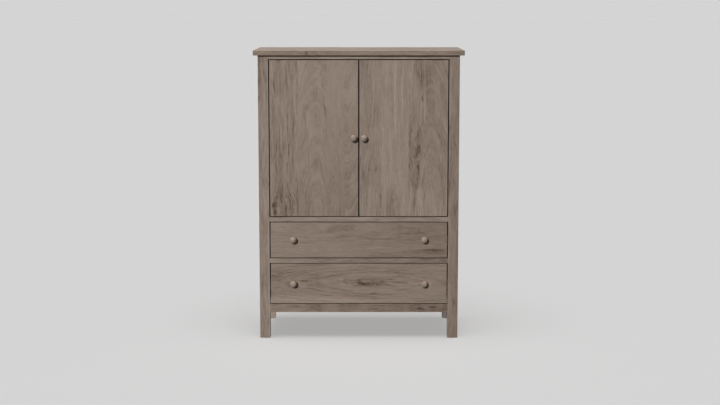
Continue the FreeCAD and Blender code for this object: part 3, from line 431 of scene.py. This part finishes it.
# the right post's low tone and its fade are painted shade: darker than the left post, and darker towards its right edge
# and its foot, where the light falls off
W("front_right_post", "xzy", 67, pith=(-0.06, 0.12), slope=0.0, wander=0.45, busy=0.95, tone=0.90, fade=(-0.05, 0.04),
  knots=((-0.018, 0.53, 0.010, 0.22, -0.22, 0.0), (0.0, 0.0, 0.020, 0.16, 0.10, 0.0)),
  patches=((0.0, -0.03, 0.05, 0.38, 0.12), (0.0, -0.62, 0.05, 0.14, -0.10), (0.0, 0.45, 0.05, 0.13, -0.12)))
W("rear_left_post", "xzy", 71, pith=(0.06, 0.12), slope=0.0, wander=0.45, tone=0.88)
W("rear_right_post", "xzy", 73, pith=(-0.06, 0.12), slope=0.0, wander=0.45, tone=0.90)
W("front_top_rail", "zxy", 79, pith=(0.04, 0.12), slope=0.0, wander=0.3, tone=1.04, patches=((0.0, -0.38, 0.05, 0.14, -0.16), (0.0, 0.42, 0.05, 0.08, -0.12)))
W("front_middle_rail", "zxy", 83, pith=(0.04, 0.12), slope=0.0, wander=0.3, tone=1.06,
  patches=((0.0, -0.36, 0.05, 0.16, 0.16), (0.0, -0.04, 0.05, 0.22, -0.12), (0.0, 0.41, 0.05, 0.08, -0.16)))
# the drawer rail's fade is painted shade: darker towards the right, where the light falls off
W("front_drawer_rail", "zxy", 89, pith=(0.04, 0.12), slope=0.0, wander=0.3, tone=0.86, busy=1.2, fade=(0.0, -0.34),
  knots=((0.002, 0.405, 0.006, 0.022, 0.24, 0.4),))
# the bottom rail's fade is painted shade: darker towards the right, where the light falls off
W("front_bottom_rail", "zxy", 97, pith=(0.0, 0.06), slope=0.02, wander=0.6, tone=0.85, busy=1.1, fade=(0.0, -0.12),
  knots=((-0.002, 0.30, 0.010, 0.040, 0.30, 0.5), (0.004, 0.355, 0.009, 0.040, 0.26, 0.5), (0.006, -0.25, 0.006, 0.12, 0.14, 0.2)),
  patches=((0.0, 0.06, 0.05, 0.16, -0.20), (0.0, 0.40, 0.05, 0.09, 0.20), (0.0, -0.42, 0.05, 0.06, 0.10)))
for i, s in enumerate(("left", "right")):
    W(f"{s}_side_top_rail", "zyx", 101 + i, pith=(0.0, 0.06), slope=0.02)
    W(f"{s}_side_bottom_rail", "zyx", 107 + i, pith=(0.0, 0.06), slope=0.02, tone=0.95)
    W(f"{s}_side_panel", "yzx", 113 + i, staves=(90, 120, 105, 97), pith=(0.0, 0.06), slope=0.04, edge=0.0,
      knots=((0.06 - 0.1 * i, 0.18 - 0.3 * i, 0.012, 0.06, 0.36, 0.5), (-0.10 + 0.12 * i, -0.28 + 0.4 * i, 0.010, 0.05, 0.28, 0.4)))
W("back_top_rail", "zxy", 127, pith=(0.0, 0.06), slope=0.02, tone=0.96)
W("back_bottom_rail", "zxy", 131, pith=(0.0, 0.06), slope=0.02, tone=0.92)
W("back_panel", "xzy", 137, staves=(220, 230, 215, 227), pith=(0.0, 0.05), slope=0.06, edge=0.0)
W("compartment_floor", "yxz", 139, staves=(140, 150, 148), pith=(0.0, 0.06), slope=0.03)
W("monitor_shelf", "yxz", 149, staves=(140, 150, 145), pith=(0.0, 0.06), slope=0.03)
W("upper_shelf", "yxz", 151, staves=(150, 140, 145), pith=(0.0, 0.06), slope=0.03)
W("keyboard_tray_panel", "yxz", 157, staves=(120, 116, 116), pith=(0.0, 0.06), slope=0.03)
W("keyboard_tray_front_rail", "zxy", 163, pith=(0.0, 0.06), slope=0.02)
W("keyboard_tray_side_rails", "zyx", 167, tones=PALE, pith=(0.0, 0.06), slope=0.02, busy=0.42, wander=0.35)
W("inner_cleats", "zyx", 173, tones=PALE, pith=(0.0, 0.4), slope=0.02, edge=0.0, busy=0.42, wander=0.35)
for i, s in enumerate(("upper", "lower")):
    W(f"{s}_drawer_box_front", "zxy", 179 + i, tones=PALE, pith=(0.01, 0.06), slope=0.02, busy=0.42, wander=0.35)
    W(f"{s}_drawer_left_side", "zyx", 191 + i, tones=PALE, pith=(0.01, 0.06), slope=0.03, busy=0.42, wander=0.35)
    W(f"{s}_drawer_right_side", "zyx", 197 + i, tones=PALE, pith=(-0.01, 0.06), slope=0.03, busy=0.42, wander=0.35)
    W(f"{s}_drawer_back", "zxy", 211 + i, tones=PALE, pith=(0.01, 0.06), slope=0.02, busy=0.42, wander=0.35)
    W(f"{s}_drawer_bottom", "yxz", 223 + i, tones=PALE, pith=(0.03, 0.05), slope=0.05, edge=0.0, busy=0.36, figure=0.9, wander=0.5)
    W(f"{s}_drawer_knobs", "xyz", 227 + i, pith=(0.0, 0.03), slope=0.0, rings=260.0, tone=1.15, edge=0.0)
    W(f"{['left', 'right'][i]}_door_knob", "xyz", 233 + i, pith=(0.004, 0.03), slope=0.0, rings=260.0, tone=1.15, edge=0.0)

zinc = metal("zinc_plate", (0.66, 0.67, 0.69), (0.44, 0.45, 0.47), 0.36)
bronze = metal("dark_bronze", (0.060, 0.046, 0.036), (0.030, 0.023, 0.018), 0.46, axis="x")
for n in ("runner_case_members", "upper_runner_drawer_members", "lower_runner_drawer_members", "upper_runner_middle_members",
          "lower_runner_middle_members", "keyboard_tray_runner_members", "top_clips", "case_screws", "shelf_pins",
          "left_door_strike_plate", "right_door_strike_plate"):
    dress(n, zinc)
for n in ("hinge_case_leaves", "left_door_hinge_leaves", "right_door_hinge_leaves"):
    dress(n, bronze)
dress("leg_glides", plastic("nylon", (0.10, 0.085, 0.07), (0.17, 0.15, 0.13), 0.45))
dress("cable_grommets", plastic("black_plastic", (0.016, 0.016, 0.017), (0.04, 0.04, 0.042), 0.5))
dress("door_catch", plastic("brown_plastic", (0.07, 0.045, 0.03), (0.12, 0.08, 0.055), 0.45))

# ------------------------------------------------------------ drawer front screws
def screw_heads(name, places, turns):
    """Pan-head cross-recess screws on washers, heads towards +Y; places are points on the wood, in metres."""
    bm = bmesh.new()
    lathe = ((6.5, 0.0), (6.5, 0.7), (6.2, 1.0), (4.3, 1.0), (4.3, 1.8), (4.1, 2.5), (3.5, 3.1), (2.7, 3.4))
    n = 28
    for (px, py, pz), turn in zip(places, turns):
        at = lambda a, b, c: bm.verts.new((px + a * 0.001, py + c * 0.001, pz + b * 0.001))
        rings = [[at(r * math.cos(2 * math.pi * k / n), r * math.sin(2 * math.pi * k / n), h) for k in range(n)] for r, h in lathe]
        for lower, upper in zip(rings, rings[1:]):
            for k in range(n):
                bm.faces.new((lower[k], lower[(k + 1) % n], upper[(k + 1) % n], upper[k]))
        bm.faces.new(rings[0][::-1])
        # cross recess, narrower at its floor
        cross = ((2.1, -0.5), (2.1, 0.5), (0.6, 0.6), (0.5, 2.1), (-0.5, 2.1), (-0.6, 0.6), (-2.1, 0.5), (-2.1, -0.5), (-0.6, -0.6),
                 (-0.5, -2.1), (0.5, -2.1), (0.6, -0.6))
        c, s = math.cos(turn), math.sin(turn)
        rim = [at(a * c - b * s, a * s + b * c, 3.4) for a, b in cross]
        deep = [at(0.62 * (a * c - b * s), 0.62 * (a * s + b * c), 1.7) for a, b in cross]
        m = len(cross)
        edges = [bm.edges.get((rings[-1][k], rings[-1][(k + 1) % n])) for k in range(n)]
        for k in range(m):
            bm.faces.new((rim[k], rim[(k + 1) % m], deep[(k + 1) % m], deep[k]))
            edges.append(bm.edges.get((rim[k], rim[(k + 1) % m])))
        bmesh.ops.triangle_fill(bm, use_beauty=True, edges=edges)
        bmesh.ops.triangulate(bm, faces=[bm.faces.new(deep)])
    bmesh.ops.recalc_face_normals(bm, faces=bm.faces[:])
    me = bpy.data.meshes.new(name)
    bm.to_mesh(me)
    bm.free()
    o = bpy.data.objects.new(name, me)
    bpy.context.scene.collection.objects.link(o)
    o.data.materials.append(zinc)
    return o


ADDED = []
for s in ("upper", "lower"):
    lo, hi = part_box(f"{s}_drawer_box_front")
    zm = lo[2] + 0.60 * (hi[2] - lo[2])
    spots = [(x, hi[1], zm) for x in (-0.345, -0.115, 0.115, 0.345)]
    o = screw_heads(f"{s}_drawer_front_screws", spots, (0.3, 1.1, 0.7, 0.1) if s == "upper" else (0.9, 0.2, 1.3, 0.5))
    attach(o, f"{s}_drawer")
    ADDED.append(o)

# --------------------------------------------------------------- floor, lights
bpy.ops.mesh.primitive_circle_add(vertices=96, radius=150.0, fill_type="NGON", location=(0, 0, 0))
floor = bpy.context.object
floor.name = "floor"
fm, g, b = material("floor_paper")
b.inputs["Base Color"].default_value = (0.81, 0.81, 0.81, 1.0)
b.inputs["Roughness"].default_value = 1.0
b.inputs["Specular IOR Level"].default_value = 0.0
floor.data.materials.append(fm)

world = bpy.data.worlds.new("world")
bpy.context.scene.world = world
world.use_nodes = True
bg = world.node_tree.nodes["Background"]
bg.inputs[0].default_value = (1, 1, 1, 1)
bg.inputs[1].default_value = 0.10
# the camera sees the world as bright as the floor, so there is no horizon line; reflections also see a soft box overhead
wt = Tree(world.node_tree)
seen = wt.new("ShaderNodeBackground")
seen.inputs[0].default_value = (1, 1, 1, 1)
seen.inputs[1].default_value = 0.658
mirrored = wt.new("ShaderNodeBackground")
mirrored.inputs[0].default_value = (1, 1, 1, 1)
gx, gy, gz = wt.xyz(wt.new("ShaderNodeTexCoord").outputs["Generated"])
wt.put(mirrored.inputs[1], wt.smooth(gz, 0.30, 0.80, 0.22, 2.0))
lp = wt.new("ShaderNodeLightPath")
mix1, mix2 = wt.new("ShaderNodeMixShader"), wt.new("ShaderNodeMixShader")
wt.put(mix1.inputs[0], lp.outputs["Is Glossy Ray"])
wt.put(mix1.inputs[1], bg.outputs[0])
wt.put(mix1.inputs[2], mirrored.outputs[0])
wt.put(mix2.inputs[0], lp.outputs["Is Camera Ray"])
wt.put(mix2.inputs[1], mix1.outputs[0])
wt.put(mix2.inputs[2], seen.outputs[0])
wt.put(world.node_tree.nodes["World Output"].inputs[0], mix2.outputs[0])


def sun(name, frm, strength, angle, color=(1, 1, 1)):
    d = bpy.data.lights.new(name, "SUN")
    d.energy = strength
    d.angle = math.radians(angle)
    d.color = color
    o = bpy.data.objects.new(name, d)
    bpy.context.scene.collection.objects.link(o)
    o.rotation_euler = (-Vector(frm)).to_track_quat("-Z", "Y").to_euler()
    return o


# the key, a top light and a rim light from the back light the object; two overhead lights, one of them without
# shadows, light the floor
on_object = bpy.data.collections.new("lit_by_key")
on_floor = bpy.data.collections.new("lit_from_above")
for o in list(NODES.values()) + ADDED:
    on_object.objects.link(o)
on_floor.objects.link(floor)
floor.visible_diffuse = False        # the floor throws no light back up into the gaps
for name, frm, strength, angle in (("key", (-0.44, -1.0, 0.51), 4.50, 3.0), ("top", (0.0, 0.0, 1.0), 2.46, 12.0),
                                   ("rim", (1.0, 0.9, 0.5), 2.6, 15.0)):
    lamp = sun(name, frm, strength, angle)
    lamp.light_linking.receiver_collection = on_object
    lamp.visible_glossy = False      # gloss comes from the soft surroundings, not from a hard spot
on_back_legs = bpy.data.collections.new("lit_along_floor")
for n in ("rear_left_post", "rear_right_post"):
    on_back_legs.objects.link(NODES[n])
sun("low", (0.15, -1.0, 0.03), 2.1, 4.0).light_linking.receiver_collection = on_back_legs
above = sun("above", (-0.05, -0.20, 1.0), 0.90, 50.0)
above.light_linking.receiver_collection = on_floor
fill = sun("floor_fill", (0.0, 0.0, 1.0), 1.36, 10.0)
fill.data.use_shadow = False
fill.light_linking.receiver_collection = on_floor
